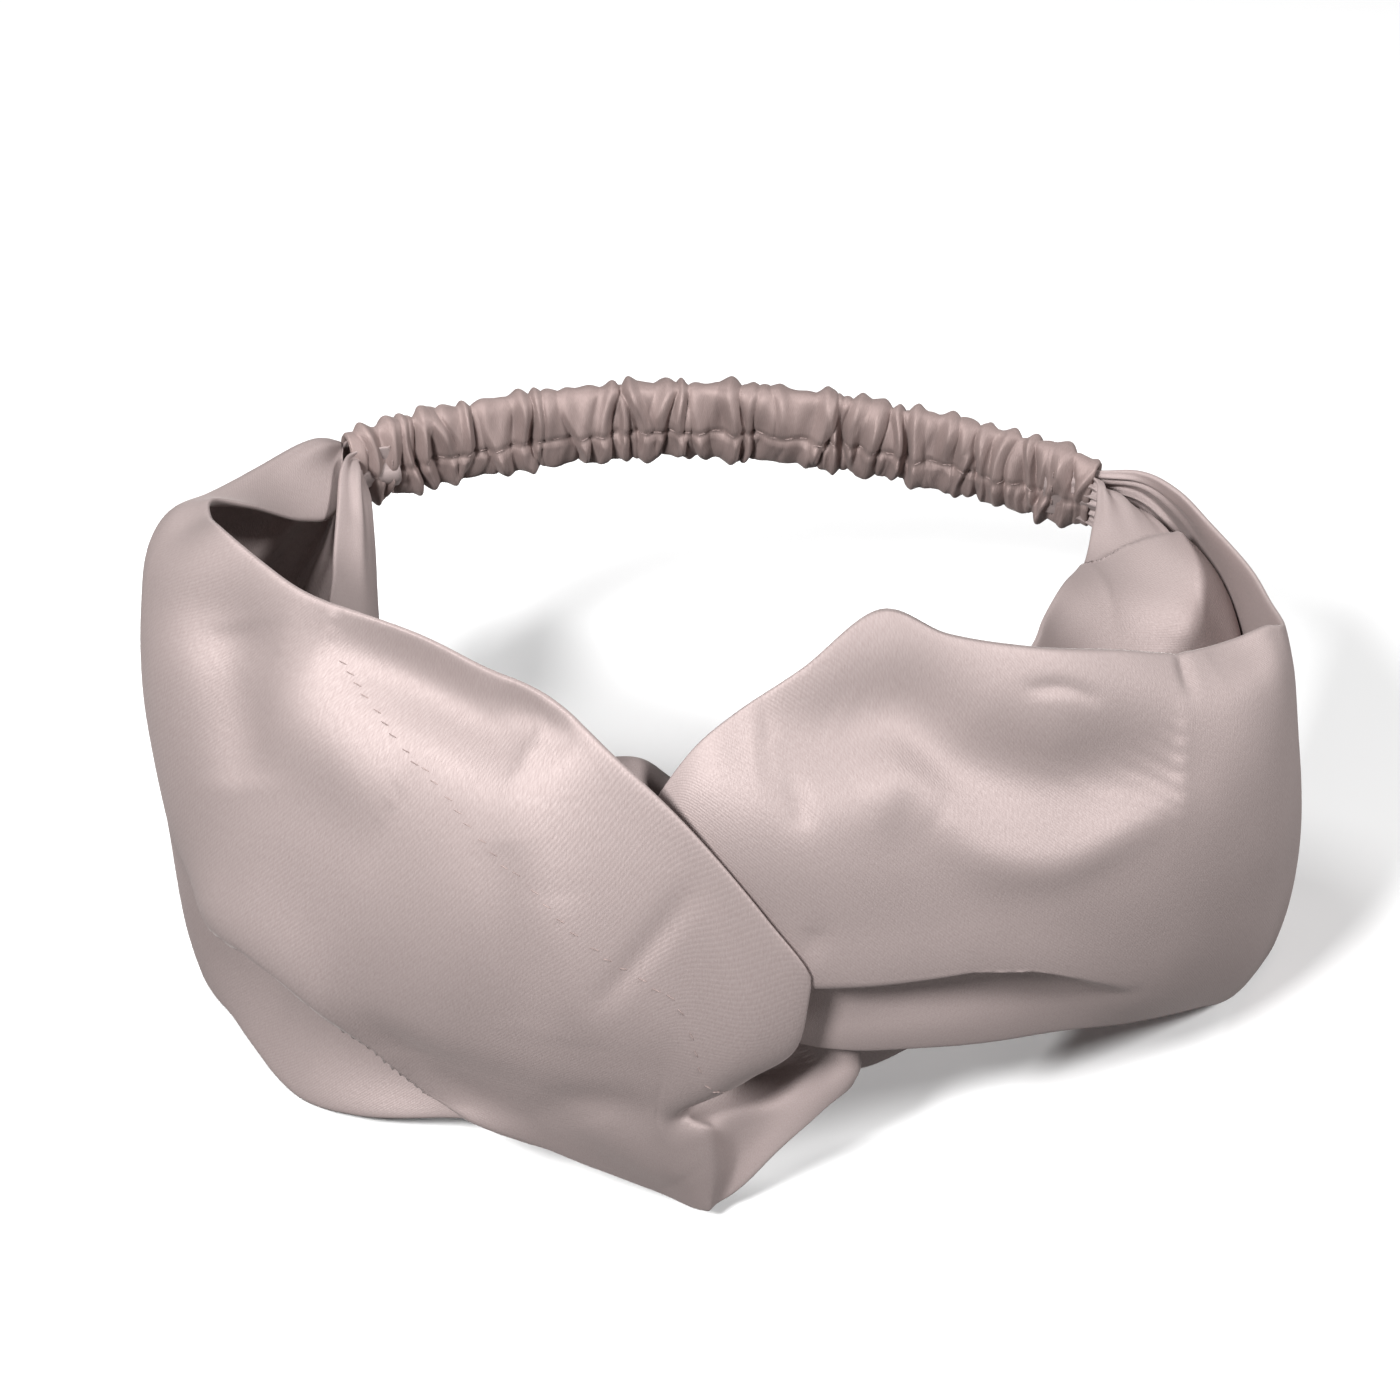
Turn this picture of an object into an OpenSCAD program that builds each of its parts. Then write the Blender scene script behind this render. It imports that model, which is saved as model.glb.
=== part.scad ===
// Knotted satin headband: two flattened cloth tubes, each bent double into a loop.
// The loops hook through each other at the front knot, and the four ends are
// pleated into the mouths of a gathered elastic casing at the back.
// X is the wearer's left to right as seen from the front, -Y is the front, Z is up.

/* [Overall] */
// Width of the loop, side to side
loop_w = 190; // [160:1:230]
// Depth of the loop, knot to casing
loop_d = 134; // [112:1:162]
// Width of the flattened cloth tube, standing on edge
band_w = 90; // [74:1:110]

/* [Cloth tubes] */
// Thickness of one flattened tube with the air in it
band_t = 2.4; // [1.8:0.1:3.2]
// Width of each tube where it is bunched in the knot
knot_w = 22; // [17:1:27]
// Free space between neighbouring layers of the knot
knot_gap = 5.4; // [4.4:0.1:7]

/* [Casing and elastic] */
// Height of the gathered casing
casing_h = 12.6; // [10.5:0.1:15.2]
// Thickness of the gathered casing at its fattest
casing_t = 6.2; // [5.6:0.1:8]
// Number of gathers along the casing
gathers = 21; // [14:1:28]
// Height of the flat elastic
elastic_h = 8; // [6.5:0.1:8.6]
// Thickness of the flat elastic
elastic_t = 0.9; // [0.7:0.05:1.2]

/* [Thread] */
// Diameter of the sewing thread
thread_d = 0.6; // [0.4:0.1:0.8]
// Stitches in the row that closes each mouth of the casing
mouth_stitches = 4; // [3:1:6]

/* [Hidden] */

satin = [0.72, 0.63, 0.61];
satin_dark = [0.62, 0.53, 0.51];
thread = [0.66, 0.57, 0.55];
webbing = [0.9, 0.89, 0.87];

// The shape tables below are drawn for this loop and stretched to the driving sizes.
drawn_w = 190;
drawn_d = 134;
drawn_h = 90;

// Four layers lie one behind the other in the knot, front to back:
// left front leg, right front leg, left back leg, right back leg.
layer_pitch = band_t + knot_gap;
knot_front = -loop_d / 2 + band_t / 2;
half_knot = knot_w / 2;
// The left loop turns under the knot here, and the right loop turns over it,
// at this share of the band's width.
under_x = 5;
over_x = -7;
under_z = layer_pitch + band_t / 2;
knot_top_share = 0.89;
over_z = band_w * knot_top_share - layer_pitch - band_t / 2;

// Clearance between the layers gathered in a mouth of the casing
sewn_gap = 0.3;
// Thickness of the casing's cloth, and how far its gathers stand out
wall = 0.6;
rib = 0.35;
cavity_t = casing_t - 2 * wall - 2 * rib;
cavity_h = casing_h - 2 * wall - 2 * rib;
// Pleated end of a leg in the mouth: thickness, height as a share of the hollow's, and
// how far its middle is from the elastic's middle
leg_end_t = (cavity_t - elastic_t - 4 * sewn_gap) / 2;
leg_end_share = 0.84;
leg_end_h = cavity_h * leg_end_share;
leg_end_off = (elastic_t + leg_end_t) / 2 + sewn_gap;
// Shares of the casing path's length: how far in the band ends reach, where the casing's
// mouth is, and where the elastic begins
tuck = 0.055;
mouth = 0.019;
elastic_start = 0.031;
stitch_row = (elastic_start + tuck) / 2;
// Height of that stitch row, as a share of the leg's end
row_share = 0.7;
// Radius of the hole that the needle leaves for the thread
needle = thread_d / 2 + 0.3;
// Stitches along the casing: how thick a visible one is, and how far below the middle
// the row runs, as a share of the casing's height
stitch_d = thread_d * 1.4;
seam_drop = 0.1;

// Points round one cross-section of a band, and of the casing
ring_points = 16;
casing_points = 12;

// ---- Curves and sweeps ----

// A height, plan width or plan depth drawn for the nominal loop, at the real size
function wide(x) = x * loop_w / drawn_w;
function deep(y) = y * loop_d / drawn_d;
function tall(z) = z * band_w / drawn_h;
function place(p) = [wide(p.x), deep(p.y), tall(p.z)];

// One cross-section of a band: lower edge, upper edge, thickness
function station(low, high, t = band_t) = [for (v = [place(low), place(high), [t, 0, 0]]) each v];
// The same, standing at a depth that the knot sets
function layer(k, low, high) =
    [for (v = [[low.x, knot_front + k * layer_pitch, tall(low.y)],
               [high.x, knot_front + k * layer_pitch, tall(high.y)], [band_t, 0, 0]]) each v];

// Smooth curve through a list of equal-length vectors, at t from 0 to len - 1
function row_at(rows, i) = rows[max(0, min(len(rows) - 1, i))];
function spline(rows, t) =
    let (i = min(floor(t), len(rows) - 2), u = t - i, a = row_at(rows, i - 1), b = rows[i],
         c = rows[i + 1], d = row_at(rows, i + 2))
    0.5 * (2 * b + (c - a) * u + (2 * a - 5 * b + 4 * c - d) * u * u
           + (3 * b - a - 3 * c + d) * u * u * u);
function smooth(rows, n) = [for (i = [0 : n - 1]) spline(rows, i * (len(rows) - 1) / (n - 1))];

function unit(v) = v / norm(v);
function low(s) = [s[0], s[1], s[2]];
function high(s) = [s[3], s[4], s[5]];
function middle(s) = (low(s) + high(s)) / 2;
function travel(list, i) =
    unit(middle(list[min(i + 1, len(list) - 1)]) - middle(list[max(i - 1, 0)]));
// Direction that faces out of the loop on the outer leg
function outward(list, i) = unit(cross(travel(list, i), high(list[i]) - low(list[i])));

// Rounded box profile: x runs over the half width, y over the half thickness
function profile(a) = [sign(cos(a)) * pow(abs(cos(a)), 0.6), sign(sin(a)) * pow(abs(sin(a)), 0.6)];

// Closed skin over equal rings of points
module skin(rings) {
    n = len(rings[0]);
    last = len(rings) - 1;
    sides = [for (r = [0 : last - 1], k = [0 : n - 1])
        let (a = r * n + k, b = r * n + (k + 1) % n, c = a + n, d = b + n)
        each [[a, b, d], [a, d, c]]];
    first_cap = [for (k = [1 : n - 2]) [0, k + 1, k]];
    last_cap = [for (k = [1 : n - 2]) [last * n, last * n + k, last * n + k + 1]];
    polyhedron([for (r = rings) each r], concat(sides, first_cap, last_cap), 10);
}

// Open-ended tube wall between outer rings and inner rings
module tube_wall(outer, inner) {
    n = len(outer[0]);
    far_out = (len(outer) - 1) * n;
    near_in = len(outer) * n;
    far_in = near_in + (len(inner) - 1) * n;
    function strip(rows, start, flip) = [for (r = [0 : rows - 2], k = [0 : n - 1])
        let (a = start + r * n + k, b = start + r * n + (k + 1) % n, c = a + n, d = b + n)
        each flip ? [[a, d, b], [a, c, d]] : [[a, b, d], [a, d, c]]];
    mouths = [for (k = [0 : n - 1])
        let (j = (k + 1) % n)
        each [[k, near_in + k, near_in + j], [k, near_in + j, j],
              [far_out + k, far_in + j, far_in + k], [far_out + k, far_out + j, far_in + j]]];
    polyhedron([for (r = concat(outer, inner)) each r],
               concat(strip(len(outer), 0, false), strip(len(inner), near_in, true), mouths), 10);
}

// Rings of a flattened tube through a list of stations
function tube_rings(list) =
    [for (i = [0 : len(list) - 1])
        let (s = list[i], half = (high(s) - low(s)) / 2, out = outward(list, i) * s[6] / 2)
        [for (k = [0 : ring_points - 1])
            let (p = profile(360 * k / ring_points)) middle(s) + half * p.x - out * p.y]];

// Thread laid on a face of a band at a share f of its width, side 1 outward or -1 inward
module laid_thread(list, f, side) {
    lie = [for (i = [0 : len(list) - 1])
        let (s = list[i]) low(s) * (1 - f) + high(s) * f + outward(list, i) * side * s[6] / 2];
    skin([for (i = [0 : len(lie) - 1])
        let (along = unit(lie[min(i + 1, len(lie) - 1)] - lie[max(i - 1, 0)]),
             out = outward(list, i), across = unit(cross(along, out)))
        [for (k = [0 : 7]) lie[i] + (across * cos(45 * k) + out * sin(45 * k)) * thread_d / 2]]);
}

// ---- The casing's path, from the left mouth to the right one ----

casing_path = [for (p = [[-64, 49, 68], [-47, 56.5, 69], [-28, 61, 70], [-10, 62.8, 70],
                         [10, 62.8, 69], [28, 61, 67], [47, 56.5, 65], [64.5, 48.5, 63]])
               place(p)];
function path_at(s) = spline(casing_path, s * (len(casing_path) - 1));
function path_along(s) = unit(path_at(min(s + 0.02, 1)) - path_at(max(s - 0.02, 0)));
// Level direction across the path, pointing out of the loop
function path_out(s) = let (d = path_along(s)) unit([-d.y, d.x, 0]);

// A leg's end inside a mouth of the casing, at share s, on the out (1) or in (-1) side
function leg_end(s, side) =
    let (c = path_at(s) + path_out(s) * side * leg_end_off, up = [0, 0, leg_end_h / 2])
    [for (v = [c - up, c + up, [leg_end_t, 0, 0]]) each v];

// Half circle in the knot, through three layers, about height z; turn is -1 under, 1 over
function knot_turn(x, z, first, turn) =
    [for (a = [0 : 30 : 180])
        let (y = knot_front + (first + 1) * layer_pitch - layer_pitch * cos(a),
             h = z + turn * layer_pitch * sin(a))
        [x - half_knot, y, h, x + half_knot, y, h, band_t]];

// ---- Cloth tubes ----

left_outer_leg = [
    leg_end(tuck, 1), leg_end(tuck / 2, 1), leg_end(0, 1),
    station([-75, 42, 40], [-74, 40, 80]), station([-85, 28, 13], [-82, 26, 82]),
    station([-91, 10, 2], [-89, 8, 85]), station([-92, -9, 0], [-90, -7, 89]),
    station([-83, -30, 0], [-80, -20, 91]), station([-64, -46, 1], [-60, -33, 91]),
    station([-42, -56, 3], [-38, -46, 90])];
left_knot = concat(
    [layer(0, [-23, 5], [-10, 78]), layer(0, [-13, 8], [9, 54]),
     layer(0, [under_x - half_knot, 12], [under_x + half_knot, 26])],
    knot_turn(under_x, under_z, 0, -1),
    [layer(2, [under_x - half_knot, 12], [under_x + half_knot, 26]),
     layer(2, [-13, 12], [7, 50]), layer(2, [-26, 15], [-16, 62])]);
left_inner_leg = [
    station([-41, -37, 14], [-38, -36, 65]), station([-55, -20, 4], [-54, -18, 67]),
    station([-62, 0, 2], [-62, 1, 68]), station([-64, 20, 14], [-64, 20, 68]),
    station([-64, 35, 38], [-64, 35, 71]),
    leg_end(0, -1), leg_end(tuck / 2, -1), leg_end(tuck, -1)];
left_line = smooth(concat(left_outer_leg, left_knot, left_inner_leg), 100);

right_outer_leg = [
    leg_end(1 - tuck, 1), leg_end(1 - tuck / 2, 1), leg_end(1, 1),
    station([78, 42, 36], [76, 40, 70]), station([90, 27, 10], [86, 25, 69]),
    station([94, 10, 2], [91, 7, 68]), station([94, -6, 0], [90, -6, 72]),
    station([84, -26, 5], [80, -18, 79]), station([64, -42, 14], [62, -28, 86]),
    station([43, -51, 22], [42, -38, 93])];
right_knot = concat(
    [layer(1, [22, 30], [21, 89]), layer(1, [3, 36], [11, 79]),
     layer(1, [-12, 47], [5, 72]), layer(1, [over_x - half_knot, 62], [over_x + half_knot, 70])],
    knot_turn(over_x, over_z, 1, 1),
    [layer(3, [over_x - half_knot, 62], [over_x + half_knot, 70]),
     layer(3, [-11, 46], [6, 71]), layer(3, [6, 32], [14, 73])]);
right_inner_leg = [
    station([25, -37, 22], [28, -35, 74]), station([42, -26, 13], [43, -24, 70]),
    station([52, -9, 8], [52, -7, 66]), station([56, 10, 10], [56, 11, 62]),
    station([61, 28, 28], [61, 29, 61]),
    leg_end(1, -1), leg_end(1 - tuck / 2, -1), leg_end(1 - tuck, -1)];
right_line = smooth(concat(right_outer_leg, right_knot, right_inner_leg), 100);

left_rings = tube_rings(left_line);
right_rings = tube_rings(right_line);

module left_band() {
    color(satin) set_down() skin(left_rings);
}

module right_band() {
    color(satin) set_down() skin(right_rings);
}

// ---- Origin: under the middle of the loop, at the level of its lowest edge ----

function reach(rings, axis) = [for (r = rings, p = r) p[axis]];
casing_back = path_at(0.5).y + casing_t / 2;
footing = [(min(reach(left_rings, 0)) + max(reach(right_rings, 0))) / 2,
           (min(reach(left_rings, 1)) + casing_back) / 2,
           min(concat(reach(left_rings, 2), reach(right_rings, 2)))];

module set_down() {
    translate(-footing) children();
}

// ---- Seams of the cloth tubes, along the outer leg only ----

seam_first = 17;
seam_last = 43;
function stretch(list) = [for (i = [seam_first : seam_last]) list[i]];

module left_band_seam() {
    color(thread) set_down() laid_thread(stretch(left_line), 0.5, 1);
}

module right_band_seam() {
    color(thread) set_down() laid_thread(stretch(right_line), 0.5, -1);
}

// ---- Elastic and its gathered casing ----

// Rings along the path, with half sizes h and t and ribs of the given depth
function path_rings(first, last, n, h, t, depth) =
    [for (i = [0 : n - 1])
        let (s = first + (last - first) * i / (n - 1), swell = depth * cos(360 * gathers * s))
        [for (k = [0 : casing_points - 1])
            let (p = profile(360 * k / casing_points))
            path_at(s) + [0, 0, 1] * p.x * (h + swell) - path_out(s) * p.y * (t + swell)]];

// A row of needle positions across the casing, part way along the tucked ends
module needle_row(s) {
    for (i = [0 : mouth_stitches - 1]) {
        h = leg_end_h * row_share * (i / (mouth_stitches - 1) - 0.5);
        heading = path_out(s);
        translate(path_at(s) + [0, 0, h]) rotate([0, 0, atan2(heading.y, heading.x)])
            rotate([0, 90, 0]) children();
    }
}

module needle_holes() {
    for (s = [stitch_row, 1 - stitch_row])
        needle_row(s) cylinder(h = casing_t * 2, r = needle, center = true, $fn = 16);
}

module elastic_casing() {
    color(satin_dark) set_down() difference() {
        tube_wall(path_rings(mouth, 1 - mouth, gathers * 4 + 1, casing_h / 2 - rib,
                             casing_t / 2 - rib, rib),
                  path_rings(mouth, 1 - mouth, 36, cavity_h / 2, cavity_t / 2, 0));
        needle_holes();
    }
}

module elastic() {
    color(webbing) set_down() difference() {
        skin(path_rings(elastic_start, 1 - elastic_start, 36, elastic_h / 2, elastic_t / 2, 0));
        needle_holes();
    }
}

// Stitches through the casing, a little below its middle, on the side facing the head,
// one on the crest and one in the valley of every gather
module casing_seam() {
    stitch_l = wide(2);
    halves = gathers * 2;
    color(thread) set_down() for (i = [3 : halves - 3]) {
        s = i / halves;
        heading = path_along(s);
        face = casing_t / 2 - rib + rib * cos(180 * i);
        translate(path_at(s) - path_out(s) * face - [0, 0, casing_h * seam_drop])
            rotate([0, 0, atan2(heading.y, heading.x)])
            rotate([0, 90, 0]) cylinder(h = stitch_l, d = stitch_d, center = true, $fn = 16);
    }
}

// Thread through one mouth of the casing and both band ends inside it
module join_stitches(s) {
    color(thread) set_down() needle_row(s)
        cylinder(h = casing_t + 1.2, d = thread_d, center = true, $fn = 16);
}

module left_join_stitches() {
    join_stitches(stitch_row);
}

module right_join_stitches() {
    join_stitches(1 - stitch_row);
}

left_band();
right_band();
elastic_casing();
elastic();
left_band_seam();
right_band_seam();
casing_seam();
left_join_stitches();
right_join_stitches();
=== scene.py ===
"""Knotted satin headband: two pressed cloth tubes hooked through each other at the front,
and a gathered casing over an elastic at the back. Shapes are drawn in millimetres."""

import math

import bpy
import numpy as np
from mathutils import Matrix, Vector


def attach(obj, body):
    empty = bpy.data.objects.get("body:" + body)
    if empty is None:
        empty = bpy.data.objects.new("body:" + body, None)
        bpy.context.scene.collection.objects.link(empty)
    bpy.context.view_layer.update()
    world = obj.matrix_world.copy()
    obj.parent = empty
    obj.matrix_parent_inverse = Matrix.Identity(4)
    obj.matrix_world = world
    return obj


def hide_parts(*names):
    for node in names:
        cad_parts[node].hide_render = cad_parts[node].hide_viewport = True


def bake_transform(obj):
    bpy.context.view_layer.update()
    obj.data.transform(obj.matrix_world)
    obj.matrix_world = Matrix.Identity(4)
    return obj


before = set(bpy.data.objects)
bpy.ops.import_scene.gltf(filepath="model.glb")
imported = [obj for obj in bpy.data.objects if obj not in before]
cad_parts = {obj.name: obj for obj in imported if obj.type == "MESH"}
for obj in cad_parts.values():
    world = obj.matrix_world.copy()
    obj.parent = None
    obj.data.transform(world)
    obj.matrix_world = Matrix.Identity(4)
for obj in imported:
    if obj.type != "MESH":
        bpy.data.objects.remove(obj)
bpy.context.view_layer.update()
bpy.ops.object.select_all(action="DESELECT")

MM = 0.001


# ---- Camera ----

def set_camera():
    aim = Vector((-4.6, 1.0, 53.2)) * MM
    tilt = math.radians(36)
    reach = 0.572
    data = bpy.data.cameras.new("front_camera")
    data.lens = 90
    data.sensor_width = 36
    data.clip_start = 0.01
    camera = bpy.data.objects.new("front_camera", data)
    camera.location = aim + reach * Vector((0, -math.cos(tilt), math.sin(tilt)))
    camera.rotation_euler = (math.pi / 2 - tilt, 0, 0)
    bpy.context.collection.objects.link(camera)
    bpy.context.scene.camera = camera


set_camera()


# ---- Curves and cloth surfaces ----

def smooth_through(points, knots, at):
    """Smooth curve through points, which sit at knots, read off at the places in at."""
    points = np.asarray(points, float)
    knots = np.asarray(knots, float)
    step = np.diff(knots).reshape((-1,) + (1,) * (points.ndim - 1))
    slope = np.diff(points, axis=0) / step
    lean = np.empty_like(points)
    lean[1:-1] = (slope[1:] * step[:-1] + slope[:-1] * step[1:]) / (step[1:] + step[:-1])
    lean[0], lean[-1] = slope[0], slope[-1]
    i = np.clip(np.searchsorted(knots, at, side="right") - 1, 0, len(knots) - 2)
    h = step[i]
    u = (np.asarray(at) - knots[i]).reshape(h.shape) / h
    return ((2 * u ** 3 - 3 * u ** 2 + 1) * points[i] + (u ** 3 - 2 * u ** 2 + u) * h * lean[i]
            + (3 * u ** 2 - 2 * u ** 3) * points[i + 1] + (u ** 3 - u ** 2) * h * lean[i + 1])


def ease(x, start, end):
    """0 before start, 1 after end, and a smooth rise between."""
    t = np.clip((np.asarray(x, float) - start) / (end - start), 0, 1)
    return t * t * (3 - 2 * t)


def unit(v):
    return v / np.maximum(np.linalg.norm(v, axis=-1, keepdims=True), 1e-9)


class Strap:
    """A band's middle surface, lofted through rows of seven points, lower edge to upper edge."""

    def __init__(self, rows, along, across, side):
        rows = np.array(rows, float)
        gap = np.linalg.norm(np.diff(rows, axis=0), axis=2).mean(axis=1)
        knots = np.concatenate([[0], np.cumsum(gap ** 0.6)])
        tries = np.linspace(0, knots[-1], 1200)
        fine = smooth_through(rows, knots, tries)
        walk = np.linalg.norm(np.diff(fine, axis=0), axis=2).mean(axis=1)
        walk = np.concatenate([[0], np.cumsum(walk)])
        self.length = walk[-1]
        self.row_at = np.interp(knots, tries, walk)
        self.u = np.linspace(0, self.length, along)
        body = smooth_through(rows, knots, np.interp(self.u, walk, tries))
        even = np.linspace(0, 1, across)
        self.v = 0.55 * even + 0.45 * (0.5 - 0.5 * np.cos(math.pi * even))
        body = smooth_through(body.transpose(1, 0, 2), np.arange(rows.shape[1]),
                              self.v * (rows.shape[1] - 1))
        self.points = body.transpose(1, 0, 2)
        self.side = side
        self.facing = self.normals()  # which way the flat band faces, before any folds

    def normals(self):
        return self.side * unit(np.cross(np.gradient(self.points, axis=0),
                                         np.gradient(self.points, axis=1)))

    def push(self, amount):
        """Move the surface along its outward normal by amount, one number for each point."""
        self.points = self.points + self.normals() * amount[..., None]

    def row(self):
        return np.interp(self.u, self.row_at, np.arange(len(self.row_at)))

    def span(self, first, last, soft=1.0):
        """1 between two rows, fading to 0 over soft rows outside them."""
        row = self.row()
        return (ease(row, first - soft, first) * (1 - ease(row, last, last + soft)))[:, None]

    def fold(self, path, wide, deep, rows):
        """A soft ridge (deep > 0) or dent (deep < 0) along a path of points, on the given rows.
        It is deepest at the path's middle and runs out at its ends."""
        path = np.array(path, float)
        knots = np.concatenate([[0], np.cumsum(np.linalg.norm(np.diff(path, axis=0), axis=1))])
        share = np.linspace(0, 1, 60)
        line = smooth_through(path, knots, share * knots[-1])
        first, last = np.searchsorted(self.row(), (rows[0] - 1, rows[1] + 1))
        near = self.points[first:last]
        away = np.linalg.norm(near[:, :, None, :] - line, axis=3)
        closest = away.argmin(axis=2)
        strength = 0.25 + 0.75 * np.sin(math.pi * share) ** 0.6
        amount = np.zeros(self.points.shape[:2])
        amount[first:last] = deep * strength[closest] * np.exp(-(away.min(axis=2) / wide) ** 2)
        self.push(amount * self.span(*rows))

    def tuck(self, line, lip, dip, lip_wide, dip_wide, soft=1.2):
        """A fold that overhangs: the cloth above a line stands out by lip and the cloth under
        it is tucked in by dip. The line is a list of (row, height across the strap)."""
        rows, heights = np.array(line, float).T
        row = self.row()
        tall = np.linalg.norm(np.diff(self.points, axis=1), axis=2).sum(axis=1)
        off = (self.v[None, :] - np.interp(row, rows, heights)[:, None]) * tall[:, None]
        above = lip * np.exp(-(np.maximum(off, 0) / lip_wide) ** 2)
        under = -dip * np.exp(-(np.maximum(-off - soft, 0) / dip_wide) ** 2)
        amount = under + (above - under) * ease(off, -soft, 0)
        ends = ease(row, rows[0] - 0.4, rows[0] + 1.3) * (1 - ease(row, rows[-1] - 0.9,
                                                                   rows[-1] + 0.4))
        self.push(amount * ends[:, None])


def add_mesh(name, points, faces, material, uv=None):
    mesh = bpy.data.meshes.new(name)
    mesh.from_pydata((np.asarray(points) * MM).tolist(), [], faces)
    if uv is not None:
        layer = mesh.uv_layers.new(name="cloth")
        order = np.empty(len(mesh.loops), np.int32)
        mesh.loops.foreach_get("vertex_index", order)
        layer.data.foreach_set("uv", np.asarray(uv, np.float32)[order].ravel())
    mesh.polygons.foreach_set("use_smooth", np.ones(len(mesh.polygons), bool))
    mesh.materials.append(material)
    mesh.update()
    piece = bpy.data.objects.new(name, mesh)
    bpy.context.collection.objects.link(piece)
    return piece


def crown(off):
    """Share of its full thickness that a pressed tube keeps, off its middle (0) to an edge (1)."""
    return 0.3 + 0.7 * (1 - off ** 2) ** 0.8


def pressed_tube(name, strap, puff, material, flat_width):
    """Closed pressed tube about a strap's middle surface: puff is half its thickness."""
    n_u, n_v = strap.points.shape[:2]
    off = np.abs(2 * strap.v - 1)
    edge = crown(off) * np.sqrt(np.clip(1 - off ** 60, 0, 1))
    half = puff[:, None] * edge[None, :]
    normal = strap.facing
    front = strap.points + normal * half[..., None]
    back = strap.points - normal * half[..., None]
    ring = np.concatenate([front, back[:, -2:0:-1]], axis=1)
    around = ring.shape[1]
    k = np.arange(around)
    r = np.arange(n_u - 1)[:, None]
    a, b = r * around + k, r * around + (k + 1) % around
    quads = np.stack([a, b, b + around, a + around], axis=-1).reshape(-1, 4)
    if strap.side > 0:
        quads = quads[:, ::-1]
    faces = quads.tolist()
    last = (n_u - 1) * around
    for j in range(n_v - 1):
        up, down = (j, j + 1), ((around - j) % around, around - j - 1)
        near = list(dict.fromkeys([up[0], up[1], down[1], down[0]]))
        far = [last + i for i in near][::-1]
        if strap.side < 0:
            near, far = near[::-1], far[::-1]
        faces += [near, far]
    across = np.concatenate([strap.v, 2 - strap.v[-2:0:-1]]) * flat_width
    uv = np.stack(np.broadcast_arrays(strap.u[:, None], across[None, :]), axis=-1)
    return add_mesh(name, ring.reshape(-1, 3), faces, material, uv.reshape(-1, 2))


# ---- Materials ----

def shader(name, base, roughness):
    material = bpy.data.materials.new(name)
    material.use_nodes = True
    nodes, links = material.node_tree.nodes, material.node_tree.links
    surface = nodes["Principled BSDF"]
    surface.inputs["Base Color"].default_value = (*base, 1)
    surface.inputs["Roughness"].default_value = roughness
    return material, nodes, links, surface


def mix_colour(nodes, links, factor, a, b):
    mix = nodes.new("ShaderNodeMix")
    mix.data_type = "RGBA"
    links.new(factor, mix.inputs["Factor"])
    for socket, value in ((mix.inputs["A"], a), (mix.inputs["B"], b)):
        if isinstance(value, tuple):
            socket.default_value = (*value, 1)
        else:
            links.new(value, socket)
    return mix.outputs["Result"]


weave_slant = math.radians(38)


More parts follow.
